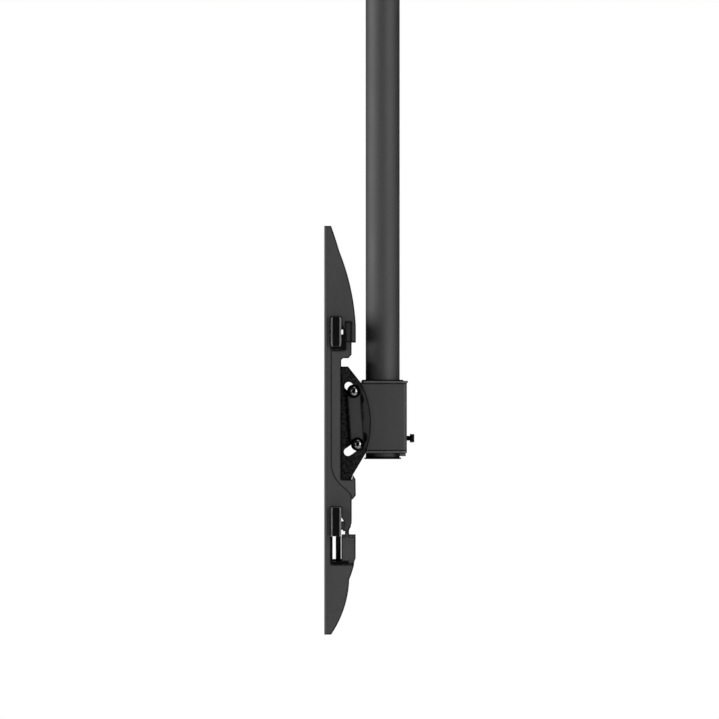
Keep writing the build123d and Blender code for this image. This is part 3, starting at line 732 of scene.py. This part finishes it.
# %% What the background rays see
def background_rays(tree):
    """One for the rays that should see the white paper: camera, mirror and glass rays."""
    ray = add(tree, "ShaderNodeLightPath")
    direct = add(tree, "ShaderNodeMath", {"operation": "MAXIMUM"}, {
        0: ray.outputs["Is Camera Ray"], 1: ray.outputs["Is Transmission Ray"],
    })
    seen = add(tree, "ShaderNodeMath", {"operation": "MAXIMUM"}, {
        0: direct.outputs["Value"], 1: ray.outputs["Is Glossy Ray"],
    })
    return seen.outputs["Value"]


print("camera, glass and mirror rays see white paper")

# %% Floor
FLOOR_DROP = 1.5
FLOOR_HALF = 2.4
GLOW_STARTS, GLOW_IS_FULL = 0.4, FLOOR_HALF * 0.9
MIDDLE_GLOW = 0.72

floor_z = cad_box[0].z - FLOOR_DROP
square = ((-1, -1), (1, -1), (1, 1), (-1, 1))
corners = [(x * FLOOR_HALF, y * FLOOR_HALF, floor_z) for x, y in square]
floor_mesh = bpy.data.meshes.new("floor")
floor_mesh.from_pydata(corners, [], [(0, 1, 2, 3)])
floor = bpy.data.objects.new("floor", floor_mesh)
scene.collection.objects.link(floor)
floor_paint, floor_tree, floor_output = new_material("pale_floor")
matt = add(floor_tree, "ShaderNodeBsdfDiffuse", {}, {"Color": linear("#F4F4F4")})
place = add(floor_tree, "ShaderNodeTexCoord")
reach = add(floor_tree, "ShaderNodeVectorMath", {"operation": "DISTANCE"}, {
    0: place.outputs["Object"], 1: (0, 0, floor_z),
})
sweep = add(floor_tree, "ShaderNodeMapRange", {}, {
    "Value": reach.outputs["Value"], "From Min": GLOW_STARTS, "From Max": GLOW_IS_FULL,
    "To Min": MIDDLE_GLOW, "To Max": 1.0,
})
paper_glow = add(floor_tree, "ShaderNodeMath", {"operation": "MULTIPLY"}, {
    0: sweep.outputs["Result"], 1: background_rays(floor_tree),
})
glow = add(floor_tree, "ShaderNodeEmission", {}, {
    "Color": (1, 1, 1, 1), "Strength": paper_glow.outputs["Value"],
})
lit = add(floor_tree, "ShaderNodeAddShader", {}, {
    0: matt.outputs["BSDF"], 1: glow.outputs["Emission"],
})
clear = add(floor_tree, "ShaderNodeBsdfTransparent")
facing = add(floor_tree, "ShaderNodeNewGeometry")
one_sided = add(floor_tree, "ShaderNodeMixShader", {}, {
    "Fac": facing.outputs["Backfacing"], 1: lit.outputs["Shader"], 2: clear.outputs["BSDF"],
})
floor_tree.links.new(one_sided.outputs["Shader"], floor_output.inputs["Surface"])
floor_mesh.materials.append(floor_paint)
print("floor", round(-floor_z, 2), "m below the ceiling")

# %% Paper and room light
ROOM_LIGHT = 0.03
world = bpy.data.worlds.new("studio")
world.use_nodes = True
scene.world = world
sky = world.node_tree
sky.nodes.clear()
room = add(sky, "ShaderNodeBackground", {}, {"Color": (1, 1, 1, 1), "Strength": ROOM_LIGHT})
paper = add(sky, "ShaderNodeBackground", {}, {"Color": (1, 1, 1, 1), "Strength": 1.0})
either = add(sky, "ShaderNodeMixShader", {}, {
    "Fac": background_rays(sky), 1: room.outputs["Background"], 2: paper.outputs["Background"],
})
add(sky, "ShaderNodeOutputWorld", {}, {"Surface": either.outputs["Shader"]})
print("room light", ROOM_LIGHT)

# %% [markdown]
# The photograph's pole has two soft highlights, left and right of its middle,
# and black rims. On a rough metal a highlight lies halfway between the camera
# and the lamp. So two tall windows stand at the sides: one to the right at 48
# degrees, and one far to the left at 76. A narrow window at 39 on the left is
# there for the domed bolts, which mirror it. Black cloths between the windows
# give the dark rims, as a photographer's black flags do: only reflections see
# them. Two lamps light the back, and a weak one shines down from above.

# %% Black cloths
FLAG_FAR = 3.2
FLAG_LOW, FLAG_HIGH = -6, 9
FOLDS = 12

felt, felt_tree, felt_output = new_material("black_felt")
cloth = add(felt_tree, "ShaderNodeBsdfDiffuse", {}, {"Color": linear("#050505")})
felt_tree.links.new(cloth.outputs["BSDF"], felt_output.inputs["Surface"])


def flag(name, start, end):
    """A tall curved black cloth between two bearings, seen only in reflections."""
    bearings = [math.radians(start + (end - start) * i / FOLDS) for i in range(FOLDS + 1)]
    points = [
        (math.cos(a) * FLAG_FAR, math.sin(a) * FLAG_FAR, z)
        for a in bearings for z in (FLAG_LOW, FLAG_HIGH)
    ]
    panel = bpy.data.meshes.new(name)
    panel.from_pydata(points, [], [(i, i + 1, i + 3, i + 2) for i in range(0, 2 * FOLDS, 2)])
    panel.materials.append(felt)
    stand = bpy.data.objects.new(name, panel)
    scene.collection.objects.link(stand)
    stand.visible_camera = False
    stand.visible_diffuse = False
    stand.visible_shadow = False
    print(name, "from", start, "to", end, "degrees")


flag("flag_front", -60, 36)
flag("flag_right", 60, 168)
flag("flag_left", -168, -92)

# %% Windows and rear lamps
LIT_POINT = Vector((0.0, 0.0, -0.55))


def softbox(name, bearing, distance, height, width, tall, watts):
    """A soft lamp at a bearing from the camera's line, in degrees, that faces the object."""
    lamp = bpy.data.lights.new(name, "AREA")
    lamp.shape = "RECTANGLE"
    lamp.size = width
    lamp.size_y = tall
    lamp.energy = watts
    turn = math.radians(bearing)
    place = Vector((math.cos(turn) * distance, math.sin(turn) * distance, height))
    stand = bpy.data.objects.new(name, lamp)
    stand.location = place
    stand.rotation_euler = (LIT_POINT - place).to_track_quat("-Z", "Y").to_euler()
    stand.visible_camera = False
    scene.collection.objects.link(stand)
    print(name, "at", bearing, "degrees,", watts, "watts")


# Name, bearing, distance, height, width, height of the box, and power.
softbox("right_window", 48, 2.6, -0.35, 1.5, 2.2, 48)
softbox("left_window", -76, 2.6, -0.35, 1.3, 1.6, 62)
softbox("bolt_window", -39, 2.6, -0.35, 0.6, 1.8, 6)
softbox("far_right", 176, 2.4, 0.9, 1.8, 1.8, 40)
softbox("far_left", -176, 2.4, -0.9, 1.8, 1.8, 30)
softbox("ceiling_glow", 0, 0.4, 1.9, 1.6, 1.6, 6)

# %% [markdown]
# The standard view transform shows the colours as they are written. The
# measured box is printed.

# %% View and sizes
scene.view_settings.view_transform = "Standard"

print("measured box", [round(v, 4) for corner in cad_box for v in corner])
